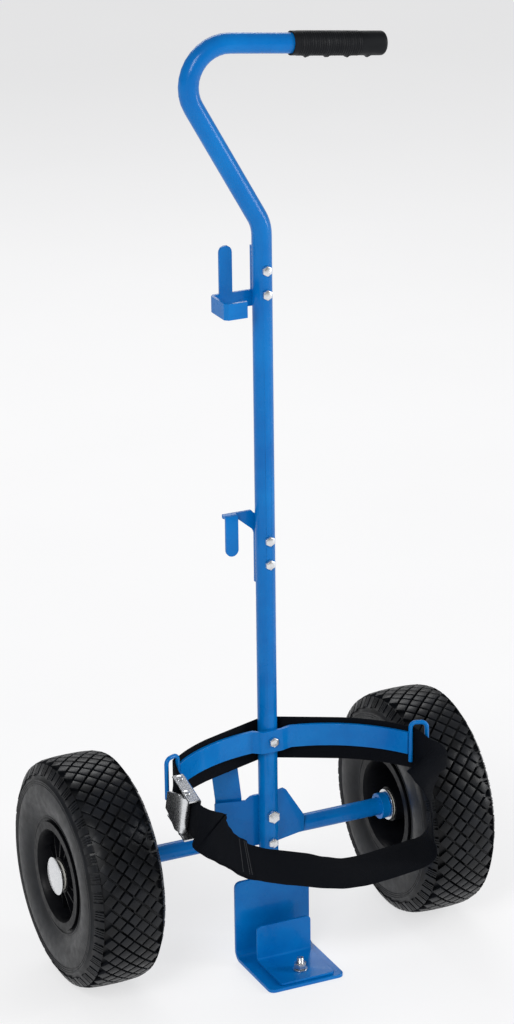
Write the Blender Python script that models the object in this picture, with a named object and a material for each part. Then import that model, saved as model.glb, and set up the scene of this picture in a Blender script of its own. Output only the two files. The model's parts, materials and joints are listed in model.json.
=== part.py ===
"""Single-bottle gas cylinder trolley: upright tube with side grip, two hose hooks, strap cradle, axle, foot.

All dimensions are in millimetres and are turned into metres when a mesh is made.
X runs along the axle, -Y is the bottle side, Z is up, and the floor is Z = 0.
The cart is drawn about the axis of its upright tube, and moved onto the middle of its footprint at the end.
"""

import math

import bmesh
import bpy
from mathutils import Matrix, Vector

MM = 0.001
CLEARANCE = 0.3

# Distance from the tube's axis back to the middle of the footprint
FOOTPRINT_MIDDLE_Y = 12.0

# Upright tube and the handle bent from the same tube
TUBE_R = 11.0
TUBE_WALL = 2.0
TUBE_FOOT_Z = 6.0
FLAT_TOP_Z = 100.0
ROUND_FROM_Z = 126.0
FLAT_HALF_WIDTH = 15.5
FLAT_HALF_DEPTH = 4.0
BEND_R = 43.0
LEAN_START_Z = 844.8
LEAN_DEG = 29.3
CROSSBAR_DROP_DEG = 6.4
TOP_BEND_CENTRE = (-38.4, 1012.0)
CROSSBAR_LENGTH = 173.5

# Hand grip
GRIP_START = 69.5
GRIP_LENGTH = 109.5
GRIP_R = 13.0
GRIP_BORE_R = TUBE_R + CLEARANCE
GRIP_BUMPS = 4
GRIP_BUMP_PITCH = 24.0
GRIP_BUMP_HEIGHT = 2.6

# Bolts through the tube: height of each and its size
SMALL_BOLT = {"shank": 3.0, "flats": 10.0, "head": 4.0, "nut": 5.0}
LARGE_BOLT = {"shank": 4.0, "flats": 13.0, "head": 5.3, "nut": 6.5}
UPPER_HOOK_BOLT_Z = (807.9, 781.4)
LOWER_HOOK_BOLT_Z = (501.4, 473.9)
BAND_BOLT_Z = 264.0
AXLE_BOLT_TOP_Z = 171.0
AXLE_BOLT_LOW_Z = 138.2

# Plates bolted behind the tube share this front face
REAR_FACE_Y = TUBE_R + CLEARANCE
STRIP_T = 3.0

# Cradle band
BAND_CENTRE = (-15.0, -181.5)
BAND_R = 176.0
BAND_T = 4.0
BAND_Z = (251.0, 277.0)
BAND_LEFT_DEG = -40.3
BAND_RIGHT_DEG = 56.8
SADDLE_Y = -(TUBE_R + CLEARANCE + BAND_T / 2)

# Strap guides: inverted U of round rod at each end of the band
GUIDE_ROD_R = 2.5
GUIDE_SPAN = 17.7
GUIDE_Z = (242.0, 289.5)
GUIDE_CORNER_R = 6.0
GUIDE_TURN_DEG = 23.5

# Axle, collars and plate
AXLE_Y = 35.9
AXLE_Z = 130.0
AXLE_R = 10.0
AXLE_HALF = 243.6
PLATE_FLAT_HALF = 14.0
PLATE_SWEEP_DEG = 15.0
PLATE_HALF = 55.0

# Wheels
WHEEL_X = 204.0
TYRE_R = 130.0
TREAD_LUGS = 36
HUB_HALF = 34.0
RIM_RIBS = 12

# Foot
FOOT_HALF = 46.0
FOOT_T = 4.0
FOOT_FRONT_Y = -99.0
FOOT_TOP_Z = 96.0
FOOT_BACK_Y = -(FLAT_HALF_DEPTH + CLEARANCE + FOOT_T / 2)
STOP_HALF = 33.5
STOP_CENTRE_X = 2.5
STOP_T = 3.0
STUD_X = 3.0
STUD_Y = -73.0

# Webbing strap and its buckle
STRAP_W = 50.0
STRAP_T = 2.0
STRAP_REAR_Z = 258.0
# The buckle hangs from its rear bar with the front end low; its parts are drawn about that bar
BUCKLE_BAR = (-143.5, -75.0, STRAP_REAR_Z - 7.0)
BUCKLE_DROOP_DEG = 16.0
BUCKLE_BASE_X = 7.0
BUCKLE_Y = (-40.0, 5.5)
BUCKLE_HALF = 27.0
BUCKLE_DEPTH = 13.5
BUCKLE_T = 2.0
BUCKLE_STRAP_X = 4.5
LEVER_PIN = (-3.0, -25.5)
PIN_R = 2.5


# ---------------------------------------------------------------- scene and materials

def clear_scene():
    for obj in list(bpy.data.objects):
        bpy.data.objects.remove(obj, do_unlink=True)


def make_material(name, colour, metallic, roughness):
    material = bpy.data.materials.new(name)
    material.use_nodes = True
    shader = material.node_tree.nodes["Principled BSDF"]
    shader.inputs["Base Color"].default_value = (*colour, 1.0)
    shader.inputs["Metallic"].default_value = metallic
    shader.inputs["Roughness"].default_value = roughness
    material.diffuse_color = (*colour, 1.0)
    material.metallic = metallic
    material.roughness = roughness
    return material


PALETTE = {
    "blue_paint": ((0.0, 0.105, 0.46), 0.0, 0.25),
    "zinc": ((0.62, 0.63, 0.65), 1.0, 0.3),
    "rubber": ((0.012, 0.012, 0.013), 0.0, 0.75),
    "plastic": ((0.016, 0.016, 0.018), 0.0, 0.45),
    "nylon": ((0.6, 0.6, 0.57), 0.0, 0.5),
    "webbing": ((0.014, 0.014, 0.016), 0.0, 0.9),
}


# ---------------------------------------------------------------- mesh builders

def make_object(name, points, faces, kind, origin=(0.0, 0.0, 0.0), smooth_deg=35.0):
    """One closed mesh. Points are given about the origin, in millimetres."""
    mesh = bpy.data.meshes.new(name)
    mesh.from_pydata([tuple(c * MM for c in p) for p in points], [], faces)
    work = bmesh.new()
    work.from_mesh(mesh)
    bmesh.ops.recalc_face_normals(work, faces=work.faces)
    work.to_mesh(mesh)
    work.free()
    obj = bpy.data.objects.new(name, mesh)
    bpy.context.scene.collection.objects.link(obj)
    obj.location = tuple(c * MM for c in origin)
    colour, metallic, roughness = PALETTE[kind]
    mesh.materials.append(make_material(name + "_" + kind, colour, metallic, roughness))
    if smooth_deg:
        mesh.shade_smooth()
        mesh.set_sharp_from_angle(angle=math.radians(smooth_deg))
    return obj


def loft(rings, closed=False):
    """Points and faces of a skin over rings of equal length; closed joins the last ring to the first."""
    count = len(rings[0])
    points = [tuple(p) for ring in rings for p in ring]
    faces = []
    steps = len(rings) if closed else len(rings) - 1
    for i in range(steps):
        a = i * count
        b = ((i + 1) % len(rings)) * count
        for j in range(count):
            k = (j + 1) % count
            faces.append((a + j, a + k, b + k, b + j))
    if not closed:
        faces.append(tuple(range(count)))
        last = (len(rings) - 1) * count
        faces.append(tuple(range(last, last + count)))
    return points, faces


AXES = {
    "X": (Vector((1, 0, 0)), Vector((0, 1, 0)), Vector((0, 0, 1))),
    "Y": (Vector((0, 1, 0)), Vector((0, 0, 1)), Vector((1, 0, 0))),
    "Z": (Vector((0, 0, 1)), Vector((1, 0, 0)), Vector((0, 1, 0))),
}


def lathe(profile, axis, segments=32, closed=False, shape=None):
    """Rings about an axis from (distance along, radius) pairs; shape(index, angle, radius) may alter a radius."""
    along, side_a, side_b = AXES[axis]
    rings = []
    for index, (distance, radius) in enumerate(profile):
        ring = []
        for step in range(segments):
            angle = 2 * math.pi * step / segments
            r = shape(index, angle, radius) if shape else radius
            ring.append(along * distance + side_a * (r * math.cos(angle)) + side_b * (r * math.sin(angle)))
        rings.append(ring)
    return loft(rings, closed)


def hexagon(apothem, angle):
    return apothem / math.cos((angle % (math.pi / 3)) - math.pi / 6)


def prism(outline, axis, low, high):
    """Outline extruded along an axis; the outline's two coordinates follow the order X, Y, Z."""
    def place(pair, level):
        if axis == "X":
            return (level, pair[0], pair[1])
        if axis == "Y":
            return (pair[0], level, pair[1])
        return (pair[0], pair[1], level)
    return loft([[place(pair, low) for pair in outline], [place(pair, high) for pair in outline]])


def offset_path(path, distance):
    """Open 2-D path moved sideways, with mitred corners."""
    result = []
    for i, here in enumerate(path):
        here = Vector(here)
        normals = []
        for a, b in ((i - 1, i), (i, i + 1)):
            if 0 <= a and b < len(path):
                step = (Vector(path[b]) - Vector(path[a])).normalized()
                normals.append(Vector((-step.y, step.x)))
        mitre = sum(normals, Vector((0.0, 0.0))).normalized()
        result.append(here + mitre * (distance / mitre.dot(normals[0])))
    return result


def folded_sheet(path, thickness, spans, axis):
    """Sheet of constant thickness following a 2-D path; spans gives its two edges along the axis at each point."""
    left = offset_path(path, thickness / 2)
    right = offset_path(path, -thickness / 2)
    rings = []
    for a, b, (low, high) in zip(left, right, spans):
        corners = ((a, low), (a, high), (b, high), (b, low))
        if axis == "Z":
            rings.append([(p.x, p.y, level) for p, level in corners])
        elif axis == "X":
            rings.append([(level, p.x, p.y) for p, level in corners])
        else:
            rings.append([(p.x, level, p.y) for p, level in corners])
    return loft(rings)


def arc(centre, radius, start_deg, end_deg, steps):
    """Points on a circle, angles measured from +first towards +second coordinate."""
    points = []
    for i in range(steps + 1):
        angle = math.radians(start_deg + (end_deg - start_deg) * i / steps)
        points.append((centre[0] + radius * math.cos(angle), centre[1] + radius * math.sin(angle)))
    return points


def rounded_spans(distances, half, corner, centre=0.0, start=False, end=True):
    """Edge pairs of a strip whose free ends have rounded corners."""
    total = distances[-1]
    spans = []
    for d in distances:
        width = half
        reach = []
        if end:
            reach.append(total - d)
        if start:
            reach.append(d)
        for r in reach:
            if r < corner:
                width = min(width, half - corner + math.sqrt(corner ** 2 - (corner - r) ** 2))
        spans.append((centre - width, centre + width))
    return spans


def path_lengths(path):
    lengths = [0.0]
    for a, b in zip(path, path[1:]):
        lengths.append(lengths[-1] + (Vector(b) - Vector(a)).length)
    return lengths


def with_corner_stations(path, corner, start=False, end=True, steps=4):
    """Adds close points near a free end so that its rounded corners can be drawn."""
    points = [Vector(p) for p in path]
    marks = [corner * (1 - math.cos(math.pi / 2 * i / steps)) for i in range(1, steps + 1)]
    if end:
        back = (points[-2] - points[-1]).normalized()
        points = points[:-1] + [points[-1] + back * m for m in reversed(marks)] + [points[-1]]
    if start:
        ahead = (points[1] - points[0]).normalized()
        points = [points[0]] + [points[0] + ahead * m for m in marks] + points[1:]
    return points


def frame_rings(centres, tangents, radii, segments, side):
    """Circles of the given radii square to the tangents; side is a direction square to all of them."""
    rings = []
    for centre, tangent, radius in zip(centres, tangents, radii):
        other = tangent.cross(side).normalized()
        ring = []
        for step in range(segments):
            angle = 2 * math.pi * step / segments
            ring.append(centre + side * (radius * math.sin(angle)) + other * (radius * math.cos(angle)))
        rings.append(ring)
    return rings


def cut(target, cutters, operation="DIFFERENCE"):
    """Applies Boolean operations and drops the helper objects."""
    for cutter in cutters:
        cutter.hide_render = True
        cutter.display_type = "WIRE"
        modifier = target.modifiers.new(operation.title(), "BOOLEAN")
        modifier.operation = operation
        modifier.solver = "EXACT"
        modifier.object = cutter
    bpy.context.view_layer.update()
    graph = bpy.context.evaluated_depsgraph_get()
    solid = bpy.data.meshes.new_from_object(target.evaluated_get(graph))
    target.modifiers.clear()
    old = target.data
    target.data = solid
    bpy.data.meshes.remove(old)
    solid.name = target.name
    while len(solid.materials) > 1:
        solid.materials.pop()
    for cutter in cutters:
        bpy.data.objects.remove(cutter, do_unlink=True)
    solid.shade_smooth()
    solid.set_sharp_from_angle(angle=math.radians(35.0))
    return target


def cylinder_cutter(axis, radius, low, high, centre, segments=20):
    points, faces = lathe([(low, radius), (high, radius)], axis, segments)
    return make_object("cutter", points, faces, "zinc", centre)


def tube_bolt_holes(plate, heights, radius, low=-30.0, high=30.0):
    return cut(plate, [cylinder_cutter("Y", radius + CLEARANCE, low, high, (0, 0, z)) for z in heights])


# ---------------------------------------------------------------- upright and grip

def tube_centre_line():
    """Centre points and directions of the whole tube, from the foot to the end of the crossbar."""
    lean = math.radians(LEAN_DEG)
    drop = math.radians(CROSSBAR_DROP_DEG)
    line = []
    for z in (TUBE_FOOT_Z, FLAT_TOP_Z, 107.0, 113.0, 119.0, ROUND_FROM_Z, 300.0, 620.0):
        line.append(((0.0, z), (0.0, 1.0)))
    for i in range(6):
        a = lean * i / 5
        line.append(((-BEND_R + BEND_R * math.cos(a), LEAN_START_Z + BEND_R * math.sin(a)),
                     (-math.sin(a), math.cos(a))))
    first = math.pi + lean
    last = math.pi / 2 - drop
    for i in range(13):
        a = first + (last - first) * i / 12
        line.append(((TOP_BEND_CENTRE[0] + BEND_R * math.cos(a), TOP_BEND_CENTRE[1] + BEND_R * math.sin(a)),
                     (math.sin(a), -math.cos(a))))
    start = line[-1][0]
    ahead = (math.cos(drop), -math.sin(drop))
    line.append(((start[0] + ahead[0] * CROSSBAR_LENGTH, start[1] + ahead[1] * CROSSBAR_LENGTH), ahead))
    return line, start, ahead


def tube_section(half_x, half_y, squareness, segments=20):
    """Closed section: an ellipse for squareness 1, flatter sides below 1."""
    section = []
    for step in range(segments):
        angle = 2 * math.pi * step / segments
        c, s = math.cos(angle), math.sin(angle)
        section.append((math.copysign(abs(c) ** squareness, c) * half_x,
                        math.copysign(abs(s) ** squareness, s) * half_y))
    return section


def build_upright():
    line, _, _ = tube_centre_line()
    shells = ([], [])
    for (x, z), (tx, tz) in line:
        flat = min(1.0, max(0.0, (ROUND_FROM_Z - z) / (ROUND_FROM_Z - FLAT_TOP_Z)))
        flat = flat * flat * (3 - 2 * flat)
        for shell, inset in zip(shells, (0.0, TUBE_WALL)):
            half_x = TUBE_R + (FLAT_HALF_WIDTH - TUBE_R) * flat - inset
            half_y = TUBE_R + (FLAT_HALF_DEPTH - TUBE_R) * flat - inset
            section = tube_section(half_x, half_y, 1.0 - 0.45 * flat)
            shell.append([(x + tz * u, v, z - tx * u) for u, v in section])
    outer, inner = shells
    points, faces = loft(outer + inner[::-1], closed=True)
    tube = make_object("upright_tube", points, faces, "blue_paint")
    small = [*UPPER_HOOK_BOLT_Z, *LOWER_HOOK_BOLT_Z, AXLE_BOLT_LOW_Z]
    tube_bolt_holes(tube, small, SMALL_BOLT["shank"])
    tube_bolt_holes(tube, [AXLE_BOLT_TOP_Z], LARGE_BOLT["shank"])
    tube_bolt_holes(tube, [BAND_BOLT_Z], SMALL_BOLT["shank"], high=0.0)


def build_grip():
    _, start, ahead = tube_centre_line()
    length = GRIP_LENGTH
    along = Vector((ahead[0], 0.0, ahead[1]))
    up = Vector((-ahead[1], 0.0, ahead[0]))
    across = Vector((0.0, 1.0, 0.0))
    rings = []
    segments = 20

    def add_ring(distance, radius, bumps=False):
        ring = []
        for step in range(segments):
            angle = 2 * math.pi * step / segments
            r = radius
            below = max(0.0, -math.cos(angle))
            if bumps:
                r += GRIP_BUMP_HEIGHT * below ** 2 * finger_wave(distance)
            ring.append(along * distance + up * (r * math.cos(angle)) + across * (r * math.sin(angle)))
        rings.append(ring)

    def finger_wave(distance):
        middle = length / 2
        reach = GRIP_BUMP_PITCH * GRIP_BUMPS / 2
        if abs(distance - middle) >= reach:
            return 0.0
        return 0.5 - 0.5 * math.cos(2 * math.pi * (distance - middle + reach) / GRIP_BUMP_PITCH)

    add_ring(length - 4.0, GRIP_BORE_R)
    add_ring(0.0, GRIP_BORE_R)
    add_ring(0.0, GRIP_R)
    add_ring(4.0, GRIP_R)
    steps = 20
    for i in range(1, steps):
        add_ring(4.0 + (length - 10.0) * i / steps, GRIP_R, bumps=True)
    add_ring(length - 6.0, GRIP_R)
    add_ring(length - 2.5, GRIP_R - 0.8)
    add_ring(length - 0.8, GRIP_R - 2.6)
    add_ring(length, GRIP_R - 5.5)
    points, faces = loft(rings)
    origin = (start[0] + ahead[0] * GRIP_START, 0.0, start[1] + ahead[1] * GRIP_START)
    make_object("handle_grip", points, faces, "rubber", origin)


# ---------------------------------------------------------------- fasteners

def build_bolt(name, z, size, head_y, end_y):
    """Hexagon bolt along Y: head in front, shank to the rear."""
    flats = size["flats"] / 2
    shank = size["shank"]
    tall = size["head"]
    profile = [(-tall, flats * 0.82), (-tall + 0.7, flats), (-0.01, flats), (0.0, shank),
               (end_y - head_y - 0.8, shank), (end_y - head_y, shank - 0.8)]

    def shape(index, angle, radius):
        return hexagon(radius, angle) if index in (1, 2) else radius

    points, faces = lathe(profile, "Y", 18, shape=shape)
    make_object(name, points, faces, "zinc", (0.0, head_y, z))


def build_nut(name, z, size, face_y):
    bore = size["shank"] + CLEARANCE
    flats = size["flats"] / 2
    tall = size["nut"]
    profile = [(0.0, bore), (0.0, flats), (tall - 0.6, flats), (tall, flats * 0.9), (tall, bore)]

    def shape(index, angle, radius):
        return hexagon(radius, angle) if index in (1, 2) else radius

    points, faces = lathe(profile, "Y", 18, closed=True, shape=shape)
    make_object(name, points, faces, "zinc", (0.0, face_y, z))


def build_tube_fasteners():
    head_y = -(TUBE_R + CLEARANCE)
    nut_y = REAR_FACE_Y + STRIP_T + CLEARANCE
    bolts = [
        ("upper_hook", "top", UPPER_HOOK_BOLT_Z[0], SMALL_BOLT),
        ("upper_hook", "low", UPPER_HOOK_BOLT_Z[1], SMALL_BOLT),
        ("lower_hook", "top", LOWER_HOOK_BOLT_Z[0], SMALL_BOLT),
        ("lower_hook", "low", LOWER_HOOK_BOLT_Z[1], SMALL_BOLT),
        ("axle_plate", "top", AXLE_BOLT_TOP_Z, LARGE_BOLT),
        ("axle_plate", "low", AXLE_BOLT_LOW_Z, SMALL_BOLT),
    ]
    for owner, place, z, size in bolts:
        end_y = nut_y + size["nut"] + 2.0
        build_bolt(f"{owner}_bolt_{place}", z, size, head_y, end_y)
        build_nut(f"{owner}_nut_{place}", z, size, nut_y)
    band_front = SADDLE_Y - BAND_T / 2 - CLEARANCE
    build_bolt("band_bolt", BAND_BOLT_Z, SMALL_BOLT, band_front, -2.0)


# ---------------------------------------------------------------- hose hooks

def finger_outline(centre_x, half, root_z, tip_z):
    """Strip with a half-round tip, from root_z to tip_z."""
    up = 1.0 if tip_z > root_z else -1.0
    middle_z = tip_z - up * half
    outline = [(centre_x + half, root_z)]
    for i in range(9):
        angle = math.pi * i / 8
        outline.append((centre_x + half * math.cos(angle), middle_z + up * half * math.sin(angle)))
    outline.append((centre_x - half, root_z))
    return outline


def build_upper_hook():
    """Torch rest: upright finger, bolted flange, and a strip folded forward into an open U."""
    flange = 7.5
    low, shelf, top = 764.0, 782.0, 831.0
    left = -54.0
    front = -24.0
    finger = finger_outline(-37.0, 7.4, shelf, 834.5)
    outline = [(flange, low), (flange, top), (-flange, top), (-flange, shelf), *finger, (left + 2.0, shelf)]
    outline.append((left + 2.0, low))
    points, faces = prism(outline, "Y", REAR_FACE_Y, REAR_FACE_Y + STRIP_T)
    hook = make_object("hose_hook_upper", points, faces, "blue_paint")
    middle = REAR_FACE_Y + STRIP_T / 2
    path = [(-45.0, middle), (left + 3.5, middle), (left + 0.5, middle - 3.0), (left + 0.5, front + 3.0),
            (left + 3.5, front), (-29.0, front)]
    points, faces = folded_sheet(path, STRIP_T - 0.02, [(low + 0.01, shelf - 0.01)] * len(path), "Z")
    cut(hook, [make_object("wing", points, faces, "blue_paint")], "UNION")
    tube_bolt_holes(hook, UPPER_HOOK_BOLT_Z, SMALL_BOLT["shank"])


def build_lower_hook():
    """Hose hook: bolted flange with a gusset, a short shelf folded forward and a finger turned down."""
    flange = 7.5
    low, top = 447.0, 530.0
    arm_end = -45.0
    outline = [(flange, low), (flange, top - 4.0), (-7.0, top - 3.0), (-11.0, top + 1.5), (arm_end + 0.4, top + 1.5),
               (arm_end + 0.4, top - 3.0), (-29.0, top - 4.5), (-9.5, 509.0), (-flange, 504.0), (-flange, low)]
    points, faces = prism(outline, "Y", REAR_FACE_Y, REAR_FACE_Y + STRIP_T)
    hook = make_object("hose_hook_lower", points, faces, "blue_paint")
    shelf_z = top
    finger_y = 5.0
    tip_z = 484.7
    path = [(REAR_FACE_Y + STRIP_T - 0.4, shelf_z), (finger_y + 2.5, shelf_z), (finger_y + 0.7, shelf_z - 0.7),
            (finger_y, shelf_z - 2.5), (finger_y, tip_z)]
    path = with_corner_stations(path, 7.4, steps=6)
    spans = rounded_spans(path_lengths(path), 7.4, 7.3, centre=-37.6)
    points, faces = folded_sheet(path, STRIP_T - 0.02, spans, "X")
    cut(hook, [make_object("finger", points, faces, "blue_paint")], "UNION")
    tube_bolt_holes(hook, LOWER_HOOK_BOLT_Z, SMALL_BOLT["shank"])


# ---------------------------------------------------------------- cradle

def band_point(degrees, radius=BAND_R):
    """Point on the cradle arc; degrees run from the arc's middle, positive to the right."""
    angle = math.radians(degrees)
    return Vector((BAND_CENTRE[0] + radius * math.sin(angle), BAND_CENTRE[1] + radius * math.cos(angle)))


def build_band():
    left = [band_point(BAND_LEFT_DEG + (-2.0 - BAND_LEFT_DEG) * i / 10) for i in range(11)]
    right = [band_point(12.5 + (BAND_RIGHT_DEG - 12.5) * i / 12) for i in range(13)]
    saddle = [Vector((-13.5, SADDLE_Y + 0.8)), Vector((-11.0, SADDLE_Y)), Vector((11.0, SADDLE_Y)),
              Vector((13.5, SADDLE_Y + 0.8))]
    path = left + saddle + right
    points, faces = folded_sheet(path, BAND_T, [BAND_Z] * len(path), "Z")
    band = make_object("cradle_band", points, faces, "blue_paint")
    tube_bolt_holes(band, [BAND_BOLT_Z], SMALL_BOLT["shank"], high=0.0)


def guide_feet(side):
    """Inner and outer leg centres of a strap guide; side is -1 left, +1 right."""
    degrees = BAND_LEFT_DEG if side < 0 else BAND_RIGHT_DEG
    angle = math.radians(degrees)
    along = Vector((math.cos(angle), -math.sin(angle))) * side
    inner = band_point(degrees) + along * (GUIDE_ROD_R + CLEARANCE + 0.1)
    turn = math.radians(GUIDE_TURN_DEG)
    outward = Vector((side * math.cos(turn), -math.sin(turn)))
    return inner, inner + outward * GUIDE_SPAN, outward


def build_guide(name, side):
    inner, outer, outward = guide_feet(side)
    low, high = GUIDE_Z
    corner = GUIDE_CORNER_R
    flat = [(0.0, low, 0.0, 1.0)]
    for i in range(7):
        angle = math.pi / 2 * i / 6
        flat.append((corner - corner * math.cos(angle), high - corner + corner * math.sin(angle),
                     math.sin(angle), math.cos(angle)))
    for i in range(7):
        angle = math.pi / 2 * i / 6
        flat.append((GUIDE_SPAN - corner + corner * math.sin(angle), high - corner + corner * math.cos(angle),
                     math.cos(angle), -math.sin(angle)))
    flat.append((GUIDE_SPAN, low, 0.0, -1.0))
    centres = [Vector((outward.x * u, outward.y * u, z)) for u, z, _, _ in flat]
    tangents = [Vector((outward.x * tu, outward.y * tu, tz)) for _, _, tu, tz in flat]
    side_axis = Vector((-outward.y, outward.x, 0.0))
    rings = frame_rings(centres, tangents, [GUIDE_ROD_R] * len(centres), 12, side_axis)
    points, faces = loft(rings)
    make_object(name, points, faces, "blue_paint", (inner.x, inner.y, 0.0))


# ---------------------------------------------------------------- axle group

def plate_front_y(x):
    """Front face of the axle plate: flat behind the tube, wings swept back to the axle."""
    return REAR_FACE_Y + max(0.0, abs(x) - PLATE_FLAT_HALF) * math.tan(math.radians(PLATE_SWEEP_DEG))


def build_axle_plate():
    half = PLATE_HALF + 5.0
    middle = STRIP_T / 2
    path = [(x, plate_front_y(x) + middle) for x in (-half, -PLATE_FLAT_HALF, PLATE_FLAT_HALF, half)]
    points, faces = folded_sheet(path, STRIP_T, [(120.0, 200.0)] * len(path), "Z")
    plate = make_object("axle_plate", points, faces, "blue_paint")
    outline = [(-PLATE_HALF, 127.0), (PLATE_HALF, 127.0), (PLATE_HALF, 146.0), (PLATE_HALF - 1.0, 148.5),
               (30.0, 186.0), (26.0, 189.0), (-13.0, 189.5), (-16.0, 188.5), (-21.0, 184.0),
               (-PLATE_HALF + 2.0, 184.0), (-PLATE_HALF, 182.0)]
    points, faces = prism(outline, "Y", 0.0, 40.0)
    cut(plate, [make_object("outline", points, faces, "blue_paint")], "INTERSECT")
    tube_bolt_holes(plate, [AXLE_BOLT_LOW_Z], SMALL_BOLT["shank"])
    tube_bolt_holes(plate, [AXLE_BOLT_TOP_Z], LARGE_BOLT["shank"])


def build_band_brace():
    """Flat bar standing on the rear of the plate's left wing and leaning forward behind the strap."""
    sweep = math.radians(PLATE_SWEEP_DEG)
    across = Vector((-math.cos(sweep), math.sin(sweep), 0.0)) * 30.0
    back = Vector((math.sin(sweep), math.cos(sweep), 0.0))
    corner = Vector((-25.5, plate_front_y(-25.5), 0.0)) + back * (STRIP_T + CLEARANCE)
    levels = [(150.0, (0.0, 0.0)), (185.5, (0.0, 0.0)), (187.5, (-0.2, -0.3)), (262.0, (-14.2, -13.7))]
    rings = []
    for z, (dx, dy) in levels:
        base = corner + Vector((dx, dy, z))
        rings.append([base, base + across, base + across + back * STRIP_T, base + back * STRIP_T])
    points, faces = loft(rings)
    make_object("band_brace", points, faces, "blue_paint")


def build_axle():
    profile = [(-AXLE_HALF, AXLE_R - 1.0), (-AXLE_HALF + 1.0, AXLE_R), (AXLE_HALF - 1.0, AXLE_R),
               (AXLE_HALF, AXLE_R - 1.0)]
    points, faces = lathe(profile, "X", 32)
    make_object("axle", points, faces, "blue_paint", (0.0, AXLE_Y, AXLE_Z))


def ring_body(name, side, low, high, outer, kind):
    """Ring round the axle between two distances from the middle of the cart."""
    bore = AXLE_R + CLEARANCE
    profile = [(low, bore), (low, outer), (high, outer), (high, bore)]
    profile = [(side * (a - low), r) for a, r in profile]
    points, faces = lathe(profile, "X", 28, closed=True)
    make_object(name, points, faces, kind, (side * low, AXLE_Y, AXLE_Z))


def build_axle_cap(name, side):
    """Pressed cap pushed over the end of the axle."""
    bore = AXLE_R + CLEARANCE
    floor = AXLE_HALF + CLEARANCE
    skirt = WHEEL_X + HUB_HALF + 4.1
    profile = [(floor, bore), (skirt, bore), (skirt, bore + 1.6), (floor - 0.5, bore + 1.6), (floor - 0.5, 20.6),
               (floor, 21.5), (floor + 1.0, 21.5), (floor + 2.0, 19.5), (floor + 2.8, 9.0)]
    profile = [(side * (a - WHEEL_X), r) for a, r in profile]
    points, faces = lathe(profile, "X", 28)
    make_object(name, points, faces, "zinc", (side * WHEEL_X, AXLE_Y, AXLE_Z))


# ---------------------------------------------------------------- wheels

TYRE_OUTER = [(34.0, 56.6), (40.5, 67.0), (44.6, 84.0), (44.4, 103.0), (41.4, 117.0), (38.5, 124.0), (31.0, 128.2),
              (0.0, TYRE_R)]
TYRE_INNER = [(0.0, 121.0), (31.0, 115.0), (37.0, 90.0), (28.0, 56.6)]


def mirrored(half):
    return half + [(-a, r) for a, r in reversed(half) if a > 0]


def build_tyre(name, side):
    outer = mirrored(TYRE_OUTER)
    inner = [(-a, r) for a, r in reversed(TYRE_INNER) if a > 0] + TYRE_INNER
    profile = outer + inner
    grooves = {i for i, (a, r) in enumerate(outer) if 115.0 < r < 128.5 and abs(a) > 30.0}

    def shape(index, angle, radius):
        step = round(angle / (2 * math.pi) * TREAD_LUGS * 2)
        return radius - 3.2 if index in grooves and step % 2 else radius

    points, faces = lathe(profile, "X", TREAD_LUGS * 2, closed=True, shape=shape)
    make_object(name, points, faces, "rubber", (side * WHEEL_X, AXLE_Y, AXLE_Z))


def build_rim(name, side):
    """Moulded rim: barrel with two flanges, disc, hub and radial ribs in the outer dish."""
    hub_bore = 13.3
    hub_outer = 20.0
    web = 8.0
    profile = [(-HUB_HALF, hub_bore), (-HUB_HALF, hub_outer), (web, hub_outer), (web, 49.0), (-36.0, 50.0),
               (-40.5, 53.0), (-40.5, 61.5), (-38.6, 61.5), (-38.4, 56.2), (38.4, 56.2), (38.6, 61.5), (40.5, 61.5),
               (40.5, 53.0), (36.0, 50.0), (web + 4.0, 49.0), (web + 4.0, hub_outer), (HUB_HALF, hub_outer),
               (HUB_HALF, hub_bore)]
    profile = [(a * side, r) for a, r in profile]
    points, faces = lathe(profile, "X", 40, closed=True)
    rim = make_object(name, points, faces, "plastic", (side * WHEEL_X, AXLE_Y, AXLE_Z))
    ribs = []
    for i in range(RIM_RIBS):
        spin = Matrix.Rotation(2 * math.pi * (i + 0.5) / RIM_RIBS, 3, "X")
        section = [(side * (web + 3.5), 18.5), (side * 33.0, 18.5), (side * 27.0, 49.8), (side * (web + 3.5), 49.8)]
        rings = [[spin @ Vector((a, t, r)) for a, r in section] for t in (-1.0, 1.0)]
        points, faces = loft(rings)
        ribs.append(make_object("rib", points, faces, "plastic", (side * WHEEL_X, AXLE_Y, AXLE_Z)))
    cut(rim, ribs, "UNION")


def build_bush(name, side, end):
    """Flanged bush in one end of the hub; end is -1 towards the cart's middle, +1 outwards."""
    bore = AXLE_R + CLEARANCE
    profile = [(HUB_HALF - 18.0, bore), (HUB_HALF - 18.0, 13.0), (HUB_HALF + CLEARANCE, 13.0),
               (HUB_HALF + CLEARANCE, 17.0), (HUB_HALF + 2.0, 17.0), (HUB_HALF + 2.0, bore)]
    profile = [(side * end * a, r) for a, r in profile]
    points, faces = lathe(profile, "X", 28, closed=True)
    make_object(name, points, faces, "nylon", (side * WHEEL_X, AXLE_Y, AXLE_Z))


def build_wheel(label, side):
    build_tyre(f"tyre_{label}", side)
    build_rim(f"rim_{label}", side)
    build_bush(f"bush_inner_{label}", side, -1)
    build_bush(f"bush_outer_{label}", side, 1)
    hub_in = WHEEL_X - HUB_HALF - 2.0
    hub_out = WHEEL_X + HUB_HALF + 2.0
    ring_body(f"axle_collar_{label}", side, hub_in - 12.4, hub_in - 2.4, 15.0, "blue_paint")
    ring_body(f"washer_inner_{label}", side, hub_in - 2.1, hub_in - 0.4, 18.0, "zinc")
    ring_body(f"washer_outer_{label}", side, hub_out + 0.3, hub_out + 1.8, 16.0, "zinc")
    build_axle_cap(f"axle_cap_{label}", side)


# ---------------------------------------------------------------- foot

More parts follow.
